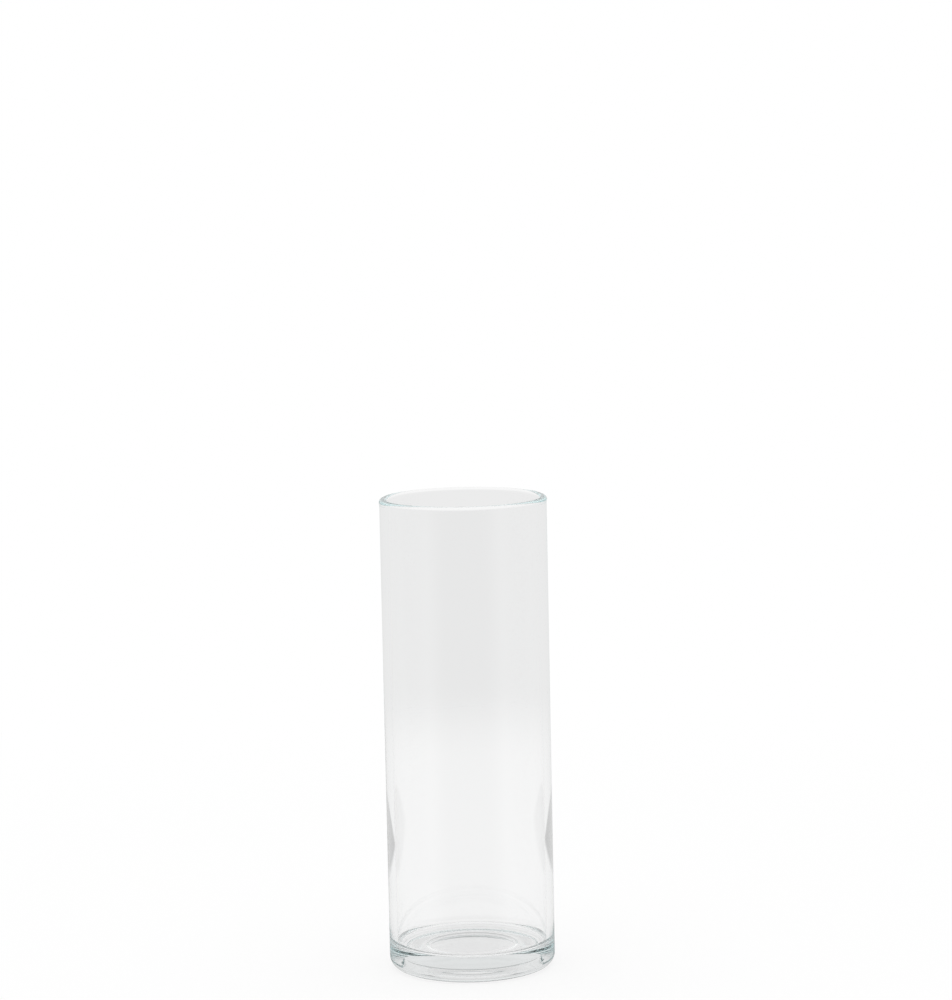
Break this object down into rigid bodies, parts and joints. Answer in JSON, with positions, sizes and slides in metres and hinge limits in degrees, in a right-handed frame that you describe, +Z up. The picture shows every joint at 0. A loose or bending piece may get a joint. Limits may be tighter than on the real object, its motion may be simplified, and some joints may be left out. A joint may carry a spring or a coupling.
{
  "type": "cylinder vase",
  "caption": "Tall straight-sided cylinder vase in clear glass, with a thick rounded base, a fire-polished bead at the open rim and a shallow flat recess under the foot.",
  "frame": {"origin": "centre of the base, on the plane the vase stands on", "axes": "+Z up along the axis of the glass, towards the open mouth"},
  "size_m": [0.0704, 0.0704, 0.2],
  "materials": {
    "clear_glass": "clear, fire-polished soda-lime glass with a faint blue-green tint in thick sections"
  },
  "bodies": {
    "root": {"glass_vessel": "clear_glass"}
  },
  "joints": []
}
